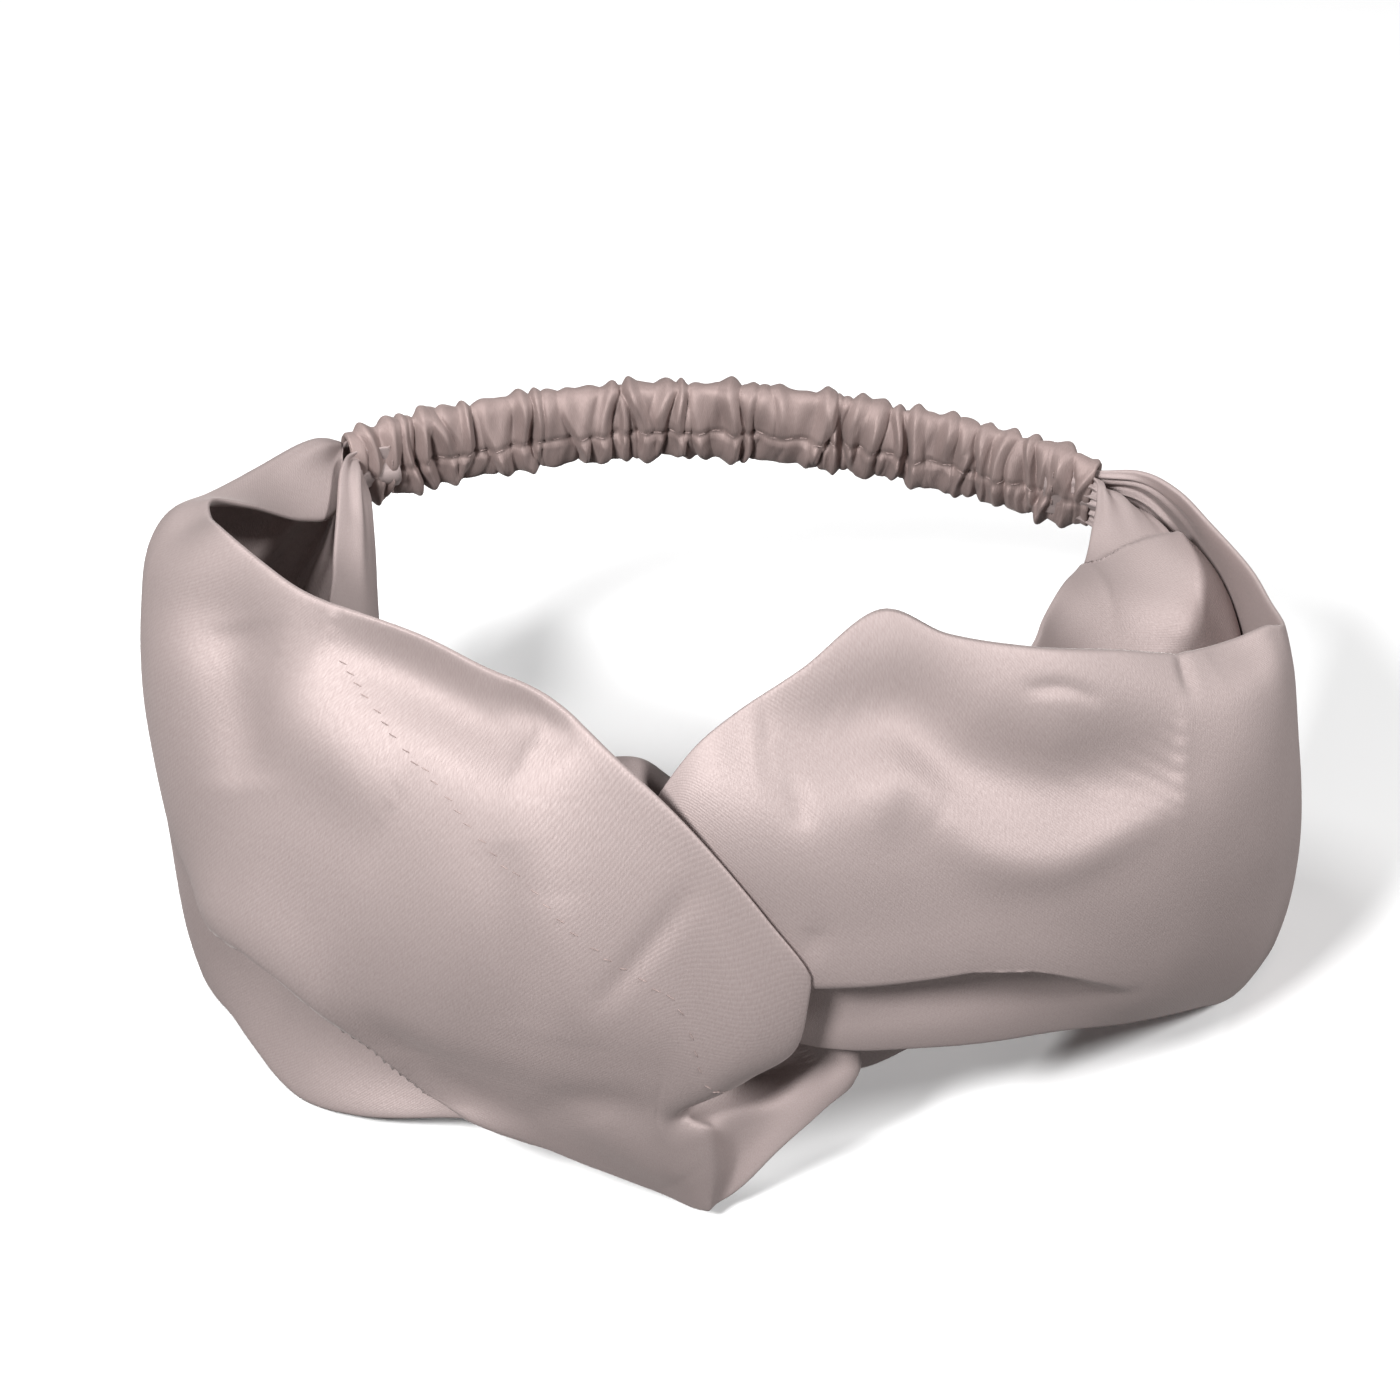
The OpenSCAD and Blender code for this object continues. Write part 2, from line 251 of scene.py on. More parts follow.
def satin(name, base, deep):
    """Satin with a fine slanting weave; the weave follows the cloth's own map, in millimetres."""
    material, nodes, links, surface = shader(name, base, 0.42)
    surface.inputs["Metallic"].default_value = 0.4
    surface.inputs["Sheen Weight"].default_value = 0.12
    surface.inputs["Sheen Roughness"].default_value = 0.35
    surface.inputs["Sheen Tint"].default_value = (1.0, 0.93, 0.9, 1)
    surface.inputs["Specular IOR Level"].default_value = 0.4
    surface.inputs["Anisotropic"].default_value = 0.45
    where = nodes.new("ShaderNodeTexCoord")
    turn = nodes.new("ShaderNodeMapping")
    turn.inputs["Rotation"].default_value = (0, 0, weave_slant)
    links.new(where.outputs["UV"], turn.inputs["Vector"])
    weave = nodes.new("ShaderNodeTexWave")
    weave.wave_type = "BANDS"
    weave.bands_direction = "X"
    weave.inputs["Scale"].default_value = 0.64
    weave.inputs["Distortion"].default_value = 0.8
    weave.inputs["Detail"].default_value = 2
    weave.inputs["Detail Scale"].default_value = 2.5
    links.new(turn.outputs["Vector"], weave.inputs["Vector"])
    stretch = nodes.new("ShaderNodeMapping")
    stretch.inputs["Rotation"].default_value = (0, 0, weave_slant)
    stretch.inputs["Scale"].default_value = (4.2, 1.2, 1)
    links.new(where.outputs["UV"], stretch.inputs["Vector"])
    slub = nodes.new("ShaderNodeTexNoise")
    slub.inputs["Scale"].default_value = 0.9
    slub.inputs["Detail"].default_value = 3
    links.new(stretch.outputs["Vector"], slub.inputs["Vector"])
    cloud = nodes.new("ShaderNodeTexNoise")
    cloud.inputs["Scale"].default_value = 0.045
    cloud.inputs["Detail"].default_value = 2
    links.new(where.outputs["UV"], cloud.inputs["Vector"])
    patch = nodes.new("ShaderNodeMapRange")
    patch.inputs["From Min"].default_value = 0.3
    patch.inputs["From Max"].default_value = 0.7
    links.new(cloud.outputs["Fac"], patch.inputs["Value"])
    ground = mix_colour(nodes, links, patch.outputs["Result"], base,
                        tuple(0.93 * c for c in base))
    thread = nodes.new("ShaderNodeMapRange")
    thread.inputs["From Min"].default_value = 0.25
    thread.inputs["From Max"].default_value = 0.75
    thread.inputs["To Max"].default_value = 0.34
    links.new(slub.outputs["Fac"], thread.inputs["Value"])
    streaked = mix_colour(nodes, links, thread.outputs["Result"], ground, deep)
    # Painted shade: where the weave's bump sinks, the colour is mixed up to a tenth of the way
    # towards deep.
    painted_groove_shade = nodes.new("ShaderNodeMapRange")
    painted_groove_shade.inputs["From Max"].default_value = 0.55
    painted_groove_shade.inputs["To Min"].default_value = 0.1
    painted_groove_shade.inputs["To Max"].default_value = 0.0
    links.new(weave.outputs["Fac"], painted_groove_shade.inputs["Value"])
    links.new(mix_colour(nodes, links, painted_groove_shade.outputs["Result"], streaked, deep),
              surface.inputs["Base Color"])
    gloss = nodes.new("ShaderNodeMapRange")
    gloss.inputs["To Min"].default_value = 0.58
    gloss.inputs["To Max"].default_value = 0.7
    links.new(slub.outputs["Fac"], gloss.inputs["Value"])
    links.new(gloss.outputs["Result"], surface.inputs["Roughness"])
    raised = nodes.new("ShaderNodeBump")
    raised.inputs["Strength"].default_value = 0.12
    raised.inputs["Distance"].default_value = 0.0001
    links.new(weave.outputs["Fac"], raised.inputs["Height"])
    rough = nodes.new("ShaderNodeBump")
    rough.inputs["Strength"].default_value = 0.6
    rough.inputs["Distance"].default_value = 0.0001
    links.new(slub.outputs["Fac"], rough.inputs["Height"])
    links.new(raised.outputs["Normal"], rough.inputs["Normal"])
    links.new(rough.outputs["Normal"], surface.inputs["Normal"])
    return material


# deep is the colour of the slub streaks and of the painted shade in the weave's hollows.
band_satin = satin("dusty_pink_satin", (0.42, 0.348, 0.338), (0.24, 0.175, 0.165))
# The casing is the bands' own satin; its darker base and deep colours are painted shade for the
# gathered casing.
casing_satin_painted_shade = satin("gathered_satin", (0.34, 0.262, 0.247), (0.19, 0.135, 0.125))


def thread_colour_and_painted_shade():
    """Twisted sewing thread, darker and browner than the cloth: partly its own colour, partly
    painted shade so the stitch lines look sunk.
    """
    material, nodes, links, surface = shader("sewing_thread", (0.27, 0.2, 0.19), 0.7)
    surface.inputs["Sheen Weight"].default_value = 0.3
    where = nodes.new("ShaderNodeTexCoord")
    twist = nodes.new("ShaderNodeTexWave")
    twist.inputs["Scale"].default_value = 900
    twist.bands_direction = "DIAGONAL"
    links.new(where.outputs["Object"], twist.inputs["Vector"])
    # Painted shade: both twist colours are kept dark so the stitches read as shaded grooves.
    links.new(mix_colour(nodes, links, twist.outputs["Fac"], (0.3, 0.225, 0.21),
                         (0.2, 0.145, 0.135)), surface.inputs["Base Color"])
    raised = nodes.new("ShaderNodeBump")
    raised.inputs["Strength"].default_value = 0.5
    raised.inputs["Distance"].default_value = 0.00005
    links.new(twist.outputs["Fac"], raised.inputs["Height"])
    links.new(raised.outputs["Normal"], surface.inputs["Normal"])
    return material


def webbing_colour_and_painted_shade():
    """Off-white elastic: fine ribs across it and braided cords along it, in millimetres."""
    material, nodes, links, surface = shader("elastic_webbing", (0.8, 0.78, 0.74), 0.75)
    surface.inputs["Sheen Weight"].default_value = 0.2
    where = nodes.new("ShaderNodeTexCoord")
    ribs = nodes.new("ShaderNodeTexWave")
    ribs.inputs["Scale"].default_value = 0.45
    links.new(where.outputs["UV"], ribs.inputs["Vector"])
    cords = nodes.new("ShaderNodeTexWave")
    cords.bands_direction = "Y"
    cords.inputs["Scale"].default_value = 0.3
    links.new(where.outputs["UV"], cords.inputs["Vector"])
    both = nodes.new("ShaderNodeMath")
    both.operation = "MULTIPLY"
    links.new(ribs.outputs["Fac"], both.inputs[0])
    links.new(cords.outputs["Fac"], both.inputs[1])
    # Painted shade: the off-white webbing is darker, down to 0.62, where its ribs and cords sink.
    links.new(mix_colour(nodes, links, both.outputs["Value"], (0.62, 0.6, 0.56),
                         (0.84, 0.82, 0.78)), surface.inputs["Base Color"])
    raised = nodes.new("ShaderNodeBump")
    raised.inputs["Strength"].default_value = 0.6
    raised.inputs["Distance"].default_value = 0.0002
    links.new(both.outputs["Value"], raised.inputs["Height"])
    links.new(raised.outputs["Normal"], surface.inputs["Normal"])
    return material


thread = thread_colour_and_painted_shade()
webbing = webbing_colour_and_painted_shade()


# ---- Left band: the outer leg, the turn under the knot, and the inner leg ----

def fan(middle, across, tall, thick, folds=3):
    """A band's pleated end in a mouth of the casing: seven points in a small zigzag."""
    cx, cy, cz = middle
    ax, ay = across
    return [(cx + ax * thick * math.cos(folds * math.pi * t),
             cy + ay * thick * math.cos(folds * math.pi * t), cz + tall * (t - 0.5))
            for t in (0, 1 / 6, 2 / 6, 3 / 6, 4 / 6, 5 / 6, 1)]


band_width, slack, bunched, sewn_flat = 90, 1.5, 0.75, 0.9

left_rows = [
    fan((-58.2, 54.3, 67.2), (-0.4, 0.9), 8.5, 0.2),
    fan((-64.8, 50.9, 67.4), (-0.4, 0.9), 9.5, 0.4),
    [(-67, 43.5, 42), (-69.5, 45, 49), (-71, 46, 56), (-71.6, 46.5, 63), (-71.3, 46.5, 69.5),
     (-69.8, 44.8, 74.6), (-66.4, 38.5, 66)],
    [(-76.5, 37, 20), (-79.6, 37.7, 32), (-81, 37.5, 44), (-81.3, 37.2, 56), (-80.7, 36.8, 67.5),
     (-77.5, 35.2, 76), (-71.3, 29.8, 69)],
    [(-85, 27, 8), (-87.8, 27, 22), (-89, 26.5, 36), (-89.3, 26, 50), (-88.7, 25, 65),
     (-85.4, 23, 78), (-77.7, 20, 78)],
    [(-89, 14, 2), (-90.6, 13, 18), (-91.6, 12.5, 34), (-92.2, 12, 50), (-92.2, 12, 66),
     (-90.5, 11.5, 80.5), (-82.8, 13, 84)],
    [(-90, 3, 0.8), (-91, 1.5, 16), (-92, 0.5, 32), (-92.6, 0, 48), (-92.8, 0, 64),
     (-91, 1, 80), (-82, 4.5, 86.6)],
    [(-88, -7, 0.4), (-89.2, -8.5, 14), (-90.2, -9.5, 29), (-91.2, -10, 45), (-91.2, -10, 62),
     (-87.8, -8.5, 79), (-78.8, -5, 90.6)],
    [(-84.3, -15, 0.3), (-83.8, -15, 13), (-84.8, -17, 27), (-88, -20, 42),
     (-87, -20, 58), (-82, -17.5, 75), (-72, -13.5, 90.4)],
    [(-80, -25, 0.3), (-77.3, -24.5, 13), (-78, -26.5, 27), (-82, -30, 40), (-79, -29, 57),
     (-73, -24.5, 74), (-65, -20.5, 89.6)],
    [(-71, -37.3, 0.3), (-68.3, -35, 12), (-69.3, -37.5, 26), (-73, -40, 38), (-69.5, -38, 55),
     (-63.5, -32.5, 73), (-57, -27, 90)],
    [(-60, -44, 2), (-57.8, -41.5, 12), (-58.3, -45, 24), (-61, -49, 36), (-58, -47, 53),
     (-53, -41, 71), (-48, -33, 89.8)],
    [(-45, -50.5, 6), (-44.3, -49, 14), (-46.3, -52.3, 24), (-47.5, -55.3, 35), (-45, -54.5, 51),
     (-41.5, -49.3, 69), (-38, -39.5, 88.6)],
    [(-33, -55.5, 9), (-33, -56, 16), (-33.5, -58.5, 25), (-34, -60.7, 35), (-32.5, -60.7, 50),
     (-30, -56.3, 67), (-26.5, -46, 87.4)],
    [(-22, -60, 7), (-22.5, -61, 15), (-22.5, -62.7, 24), (-22, -64.3, 34), (-20.5, -64.5, 47),
     (-18, -60.5, 62), (-17, -52, 81.6)],
    [(-12, -63.5, 4.3), (-13.5, -64.5, 13), (-13.8, -65.2, 22), (-11.5, -66.5, 33),
     (-9, -67, 44), (-6.5, -63.5, 57), (-6.5, -57.5, 73)],
    [(-5.5, -65.8, 2.2), (-7, -66, 10), (-8.5, -65.8, 17), (-9.8, -66.3, 24), (-3, -68.2, 31.5),
     (4, -67.2, 41), (5.5, -62, 58.5)],
    [(-2.6, -66, 2.3), (-2.3, -65.5, 11), (-3.8, -64.8, 19), (-6.2, -64.3, 23.2),
     (2.5, -64.5, 28.8), (10.3, -64, 34.5), (12.3, -63.8, 47.8)],
    [(-1.3, -64.3, 2.6), (-0.3, -62.8, 9), (-1.8, -62.3, 16), (-4, -61.8, 22), (2, -61.7, 27),
     (8.4, -61.4, 33), (10.4, -61.3, 42)],
    [(2.2, -62.8, 5.3), (2.2, -60.6, 11), (1.4, -59.6, 16), (0.8, -59, 20), (3, -58.6, 23.5),
     (6, -58.2, 26), (8.5, -58, 28)],
    [(8, -61, 11.8), (8.5, -59, 16.3), (9, -57.5, 20.3), (9.5, -56.2, 23.8), (10, -54.8, 26.8),
     (10.5, -52.8, 29), (11, -50.8, 31.5)],
    [(14, -58.4, 17), (14.6, -57, 20.5), (15.1, -55.7, 24), (15.4, -54.3, 28), (15.6, -52.8, 32),
     (15.6, -51.3, 36), (15.5, -50.2, 40)],
    [(18.2, -56, 20.6), (18.8, -55, 23.4), (19, -54, 27), (19, -52.6, 32), (18.9, -51.2, 38),
     (18.5, -50, 44), (18, -49.2, 50)],
    [(17, -52.3, 21), (17.5, -51, 24.5), (17.5, -50, 29), (17.4, -48.9, 35), (17, -47.9, 41),
     (16.5, -47.2, 47), (16, -46.8, 53)],
    [(8, -50, 19), (8, -49.3, 25), (8, -48.8, 31), (8, -48.2, 37), (8, -47.8, 43),
     (8, -47.3, 50), (8, -47, 56)],
    [(-5, -49, 17), (-4.6, -49, 24), (-4.3, -48.7, 31.5), (-4, -48.3, 39), (-4, -48, 46.5),
     (-4, -47.6, 54), (-4, -47.3, 61)],
    [(-17, -48, 15), (-16.6, -48, 23), (-16.2, -48, 31.5), (-16, -47.8, 40), (-15.7, -47.5, 48),
     (-15.4, -47.2, 56.5), (-15, -47, 65)],
    [(-31, -43, 13), (-30.5, -43.5, 22), (-30, -44, 31.5), (-30, -44, 41), (-29.6, -43.7, 50),
     (-29.3, -43.2, 59), (-29, -42.5, 68)],
    [(-43, -35, 12), (-42, -36, 21), (-41, -36.5, 31), (-40.6, -36.5, 40.5), (-40.4, -36, 50),
     (-40.6, -35, 59.5), (-41, -34, 68.5)],
    [(-55.5, -20, 9), (-54, -21, 19), (-53.2, -21.5, 30), (-53, -21, 40), (-53, -20.5, 50),
     (-54, -19.8, 60), (-56, -19, 68.5)],
    [(-61.5, -1, 8), (-60.3, -2, 18), (-59.8, -2, 29), (-59.6, -1, 39.5), (-59.7, 0, 50),
     (-61.2, 1, 60), (-64.8, 4, 67)],
    [(-62.5, 16, 13), (-61, 16, 22), (-60.2, 16.5, 31.5), (-59.8, 17, 41), (-59.8, 17.5, 50.5),
     (-61.2, 19, 59), (-65.2, 21, 65.5)],
    [(-64, 30, 32), (-62.6, 30, 39), (-61.7, 30.5, 46), (-61.2, 31, 52.5), (-61.2, 31.5, 59),
     (-62, 33, 65), (-64.8, 34.5, 69.3)],
    [(-64.3, 40, 52), (-63.4, 40, 56), (-62.9, 40.5, 60), (-62.6, 41, 63.5), (-62.6, 41.5, 67),
     (-63.3, 42.5, 70), (-65, 43.5, 72.3)],
    fan((-63.4, 48.1, 67.2), (-0.4, 0.9), 9.3, 0.4),
    fan((-56.7, 50.8, 67.2), (-0.4, 0.9), 8.5, 0.2),
]


def left_folds(strap):
    strap.fold([(-91, -2, 76), (-84, -12, 80), (-76, -18, 81), (-68, -23, 80)], 6, -1.8, (6, 10))
    strap.fold([(-77, -17, 81), (-76, -24, 72), (-74, -30, 60)], 7, -2.6, (7, 10.5))
    strap.fold([(-71, -29, 74), (-62, -37, 72), (-50, -45, 67)], 7, 1.6, (8, 12))
    strap.fold([(-62, -27, 86), (-50, -34, 84), (-38, -43, 82), (-30, -48, 80)], 6, -3.4, (9, 13))
    strap.tuck([(8.0, 0.31), (8.6, 0.38), (9.4, 0.46), (10.0, 0.485), (10.6, 0.475), (11.0, 0.43),
                (11.4, 0.32), (11.8, 0.2), (12.4, 0.11), (13.2, 0.03)], 3.0, 4.6, 9, 34, 4.5)
    strap.fold([(-34, -56, 68), (-31, -60, 54), (-29.5, -62.5, 40)], 4.5, -0.9, (12, 14))
    strap.fold([(-26, -60, 62), (-24, -63, 50), (-23, -64, 38)], 5, 0.7, (12, 15))
    strap.fold([(-5.7, -61, 64), (-12, -64, 56), (-19.2, -65, 46)], 1.7, -0.8, (13, 16))
    strap.fold([(-35, -43, 85), (-29, -47, 84), (-23, -50, 82.5)], 3.5, -1.3, (12, 14))
    strap.fold([(-20, -62, 22), (-14, -64, 15), (-8, -65.5, 9)], 5, 0.8, (14, 16.5))
    strap.fold([(-30, -60, 18), (-20, -64, 26), (-10, -66, 25)], 4, -0.9, (13, 16.3))
    strap.fold([(-6, -64, 23.5), (-1, -60.5, 22), (5, -57.5, 22), (11, -54, 26)],
               2.6, -5.0, (17, 20.5))


def waves(strap, size, seed):
    """Slow uneven waves in slack cloth."""
    u, v = strap.u[:, None] / 100, strap.v[None, :]
    wave = (np.sin(5.1 * u + 3.0 * v + seed) * np.cos(2.3 * u - 4.1 * v + 2 * seed)
            + 0.5 * np.sin(9.3 * u - 5.2 * v + 3 * seed) * np.cos(5.0 * v + 1.3 * u))
    strap.push(size * wave)


def left_band():
    strap = Strap(left_rows, 400, 112, 1)
    last = len(left_rows) - 1
    row = strap.row()
    left_folds(strap)
    waves(strap, 0.9, 0.7)
    puff = slack - bunched * ease(row, 14, 18) * (1 - ease(row, 24, 28))
    puff -= sewn_flat * (1 - ease(row, 1, 3))
    puff -= sewn_flat * ease(row, last - 3, last - 1)
    gather(strap, row, last)
    return pressed_tube("left_band_cloth", strap, puff, band_satin, band_width), strap, puff


def gather(strap, row, last):
    """Small lengthwise pleats that run out of the casing's mouths."""
    near = 1 - ease(row, 1, 4)
    far = ease(row, last - 4, last - 1)
    v = strap.v[None, :]
    pleats = (np.sin(2 * math.pi * 5 * v + 0.6) + 0.5 * np.sin(2 * math.pi * 8.3 * v + 2.0))
    size = 0.55 * (near * ease(row, 0.4, 2) + far * (1 - ease(row, last - 2, last - 0.4)))
    strap.push(size[:, None] * pleats)


# ---- Right band: the outer leg, the turn over the knot, and the inner leg ----

right_rows = [
    fan((56.8, 53.9, 62.2), (0.4, 0.9), 8.5, 0.2),
    fan((63.4, 50.4, 62.2), (0.4, 0.9), 9.5, 0.4),
    [(70, 45, 53), (71.3, 46.5, 56), (71.7, 47.3, 59), (71.8, 47.6, 61.5), (71.6, 47.7, 64),
     (71.2, 47.7, 66.3), (70.3, 47.2, 68.3)],
    [(79, 40, 36), (80.8, 40.8, 42), (81.3, 41, 48), (81, 41.3, 53.5), (80, 41.6, 58.5),
     (78.6, 41.8, 63.5), (76.3, 41.7, 68)],
    [(87.5, 31, 17), (88.6, 32, 26), (88.6, 32.8, 35), (87.6, 33.3, 43.5), (86, 33.6, 51.5),
     (84, 33.8, 59), (81.3, 34.5, 66)],
    [(92.6, 19, 5), (93.6, 20, 16), (93.6, 20.6, 27), (92.8, 21, 37.5), (91.2, 21.3, 47.5),
     (89, 21.6, 57), (86.4, 22.5, 65)],
    [(93.3, 8.5, 1), (93.7, 8, 12.5), (93.6, 8, 24), (93, 8.3, 35), (92, 8.8, 46),
     (90.6, 10, 56), (88.5, 13, 64.8)],
    [(93.8, 2.5, 0.4), (94.5, 0.5, 12), (94.4, -1, 24), (93.7, -2, 36), (92.6, -2, 48),
     (91.4, 0, 58.5), (89.3, 3.3, 66.8)],
    [(90.3, -4, 0.6), (91.6, -6.5, 12.5), (92, -8.5, 25), (91.6, -9.5, 38), (90.5, -9, 51),
     (88.8, -6.5, 62), (86.4, -0.8, 69.4)],
    [(84.5, -12, 1.2), (87, -16, 14), (87.6, -18.5, 27), (87.5, -19.5, 40), (86, -18, 53),
     (83.5, -13.5, 64), (80, -6.5, 70.8)],
    [(76, -24, 9), (78, -27, 20), (79, -29, 31.5), (78.6, -29.5, 44), (77, -27.3, 56.5),
     (74, -22.5, 66.5), (69.7, -16, 74.6)],
    [(65, -35.5, 16), (67, -38, 25.5), (68, -39, 36), (67.5, -39, 48), (65.5, -36.5, 60),
     (62.5, -31.3, 71), (58, -25, 81.5)],
    [(53, -44.5, 21), (54.5, -46.5, 29.5), (55, -47, 39.5), (54, -47, 50.5), (52, -45, 63),
     (49.5, -40.5, 75), (45.5, -33, 87.8)],
    [(40, -51.5, 25), (41, -53, 32), (41, -53.3, 41), (40, -53, 52), (38, -51, 64),
     (35.5, -46, 77.5), (32.5, -36, 92.3)],
    [(28, -55.5, 28), (28.5, -57, 34), (28.5, -57.5, 42), (27.5, -56.7, 53), (26, -54.5, 65),
     (24, -49.5, 79), (22, -36.5, 97)],
    [(17.5, -58, 30), (18, -59.3, 35.5), (17.5, -60, 43.5), (16.5, -59, 54), (15, -57, 66),
     (13, -52, 78.5), (10.8, -43.5, 91.5)],
    [(9, -57.9, 31.6), (8.5, -58.9, 37), (7, -59.5, 45), (5.5, -59, 55), (4, -57.3, 66),
     (2, -53, 77), (1.2, -46.5, 86)],
    [(0.5, -58, 38), (-0.3, -58.6, 43), (-1.6, -58.6, 50), (-3, -58, 58), (-4.5, -56.5, 66),
     (-5.5, -53, 74), (-5.3, -48.5, 80.7)],
    [(-10, -57.6, 49), (-10, -57.5, 53), (-10, -57, 57), (-10, -56.3, 61), (-10, -55.3, 65),
     (-10.3, -53.6, 69), (-11, -50.8, 73)],
    [(-17, -56, 62), (-15.8, -56, 64), (-14.8, -55.5, 65.8), (-13.8, -55, 67.3),
     (-13, -54, 68.5), (-12.4, -52.6, 69.3), (-12, -50.6, 69.5)],
    [(-21.3, -51.5, 74.8), (-19, -51.5, 74.4), (-16.8, -51.3, 73.8), (-14.6, -51, 73),
     (-12.4, -50.4, 72), (-10.2, -49.9, 70.8), (-8, -49.3, 69.5)],
    [(-21.5, -47, 78.2), (-18.8, -46.8, 77.5), (-16.2, -46.5, 76.4), (-13.6, -46.2, 75),
     (-11, -45.9, 73.3), (-8.2, -45.6, 71.4), (-5.3, -45.4, 69.3)],
    [(-20, -42.5, 73), (-17.4, -42.4, 72.6), (-14.8, -42.3, 72), (-12.2, -42.2, 71.2),
     (-9.6, -42.1, 70.2), (-7, -42, 69), (-4.4, -42, 67.7)],
    [(-15.5, -41.3, 58), (-13.5, -41.3, 60), (-11.5, -41.2, 62), (-9.4, -41.1, 64),
     (-7.3, -41, 65.8), (-5.1, -40.9, 67.4), (-3, -40.8, 68.8)],
    [(-7, -40.7, 40), (-5.5, -40.7, 45.5), (-4, -40.6, 51), (-2.4, -40.4, 56.5),
     (-0.8, -40.2, 61.5), (0.9, -40, 66.5), (2.5, -39.8, 71)],
    [(5, -40.5, 22), (6.2, -40.5, 31), (7.4, -40.3, 40), (8.6, -40, 48.5), (9.8, -39.7, 57),
     (11, -39.3, 65), (12.2, -38.8, 72.5)],
    [(18.5, -41, 10.5), (19.3, -40.7, 21.5), (20.2, -40.2, 32.5), (21, -39.5, 43),
     (21.8, -38.8, 53.5), (22.6, -38, 64), (23.5, -37, 74)],
    [(31, -38, 13.5), (32, -38, 23.5), (32.6, -37.5, 34), (33, -36.8, 44), (33.3, -35.8, 54),
     (33.5, -34.5, 64), (33.5, -32.5, 73.5)],
    [(44, -27, 11), (44.8, -27, 21.5), (45, -26.5, 32), (44.8, -25.5, 42.5), (44.4, -24, 52.5),
     (43.6, -22.3, 62.5), (42.3, -20, 71.5)],
    [(56, -12, 8), (56.3, -11, 19), (56, -9.5, 30), (55, -8, 41), (53.3, -6, 51.5),
     (51, -4.8, 61), (48.3, -4.5, 68.5)],
    [(68, 0, 8), (67.5, 1, 19), (66, 2, 30), (63.5, 3, 41), (60, 4, 51.5), (55.7, 5, 60.5),
     (51.3, 6, 66.8)],
    [(80, 9, 14), (79.5, 10, 24.5), (77.5, 11, 35), (73.5, 12.3, 45.5), (68, 13.5, 54.5),
     (61.6, 14.5, 62), (55, 15.3, 66.2)],
    [(85, 16, 25), (84.7, 17, 33.5), (82.7, 18.2, 42), (78.8, 19.5, 50.5), (73, 21, 57.5),
     (66, 22.3, 62.3), (58.4, 23.3, 63.8)],
    [(84.5, 22.5, 40), (84.2, 24, 46), (82.3, 26, 52), (78.6, 28, 57), (73.3, 29.6, 60.6),
     (67, 30.5, 62.3), (60.5, 30.5, 61.8)],
    [(79, 31.5, 48), (79, 33, 52.5), (77.8, 34.6, 56.5), (75.2, 36, 60), (71.5, 37, 62.4),
     (67, 37.3, 63.3), (62, 36.8, 62.3)],
    [(71, 41, 53), (71.2, 41.6, 56), (70.8, 42.2, 59), (69.8, 42.8, 61.5), (68.2, 43.2, 63.5),
     (66, 43.4, 64.6), (63.2, 43, 64.5)],
    fan((61.9, 47.7, 62), (0.4, 0.9), 9.3, 0.4),
    fan((55.1, 50.3, 62.2), (0.4, 0.9), 8.5, 0.2),
]


def right_folds(strap):
    strap.fold([(4, -50, 82), (14, -49, 83), (26, -46, 84), (36, -47, 77), (48, -44, 71),
                (60, -36, 67), (68, -30, 62)], 8, -4.4, (10, 16))
    strap.fold([(30, -51, 68), (38, -51, 62), (48, -48.5, 58.5), (60, -40, 58.5), (68, -33, 58)],
               3.5, 0.9, (10, 14))
    strap.fold([(20, -53, 73), (27, -51, 76), (31, -51, 71)], 5, 0.8, (12, 15))
    strap.fold([(44.2, -37.7, 83.2), (50, -35.3, 81.8), (54.8, -33.2, 78)], 1.3, -0.55, (11, 13))
    strap.fold([(33.6, -44, 81.4), (36.7, -41.5, 83.5)], 1.3, -0.5, (12, 14))
    strap.tuck([(11.5, 0.22), (11.95, 0.26), (12.7, 0.345), (13.4, 0.38), (14.9, 0.38),
                (16.4, 0.37)], 2.0, 2.8, 10, 15, 3.4)
    strap.fold([(8, -52.6, 78), (9.8, -54, 74.6), (10.5, -55, 71)], 1.6, -0.7, (14.5, 16))
    strap.fold([(12.8, -59, 56), (12, -59.3, 53), (11, -59.4, 50)], 1.7, -0.8, (14.5, 16))
    strap.fold([(69.7, -16, 74.6), (70, -19, 73), (70.5, -22, 71)], 1.5, -0.8, (9, 11))
    strap.fold([(88, 1, 67), (81, -6, 69), (74, -13, 70)], 4, -1.0, (7.5, 10.5))
    strap.fold([(62, 20, 63), (70, 23, 60.7), (77, 26, 56)], 6, 1.3, (30, 34))
    strap.fold([(80, 30, 56), (75, 24, 57), (76, 18, 53)], 5.5, -1.2, (30, 34))
    row, v = strap.row()[:, None], strap.v[None, :]
    lip = np.interp(v, (0, 0.5, 0.62, 0.75, 0.86, 1), (34.3, 34.0, 33.7, 33.3, 32.9, 32.1))
    strap.push(-1.7 * (1 - ease(row, lip, lip + 0.13)) * ease(row, 29.5, 32))


def right_band():
    strap = Strap(right_rows, 400, 112, -1)
    last = len(right_rows) - 1
    row = strap.row()
    right_folds(strap)
    waves(strap, 0.9, 2.1)
    puff = slack - bunched * ease(row, 13, 16) * (1 - ease(row, 26, 29))
    puff -= sewn_flat * (1 - ease(row, 1, 3))
    puff -= sewn_flat * ease(row, last - 3, last - 1)
    gather(strap, row, last)
    return pressed_tube("right_band_cloth", strap, puff, band_satin, band_width), strap, puff


# ---- Gathered casing ----

casing_path = np.array([(-65, 50, 67.2), (-48, 57.5, 67.3), (-29, 62, 68), (-11, 63.8, 68.4),
                        (9, 63.8, 67.4), (27, 62, 65.4), (46, 57.5, 63.2), (63.4, 49.5, 62)])
casing_knots = np.concatenate([[0], np.cumsum(np.linalg.norm(np.diff(casing_path, axis=0),
                                                             axis=1))])
casing_length = casing_knots[-1]

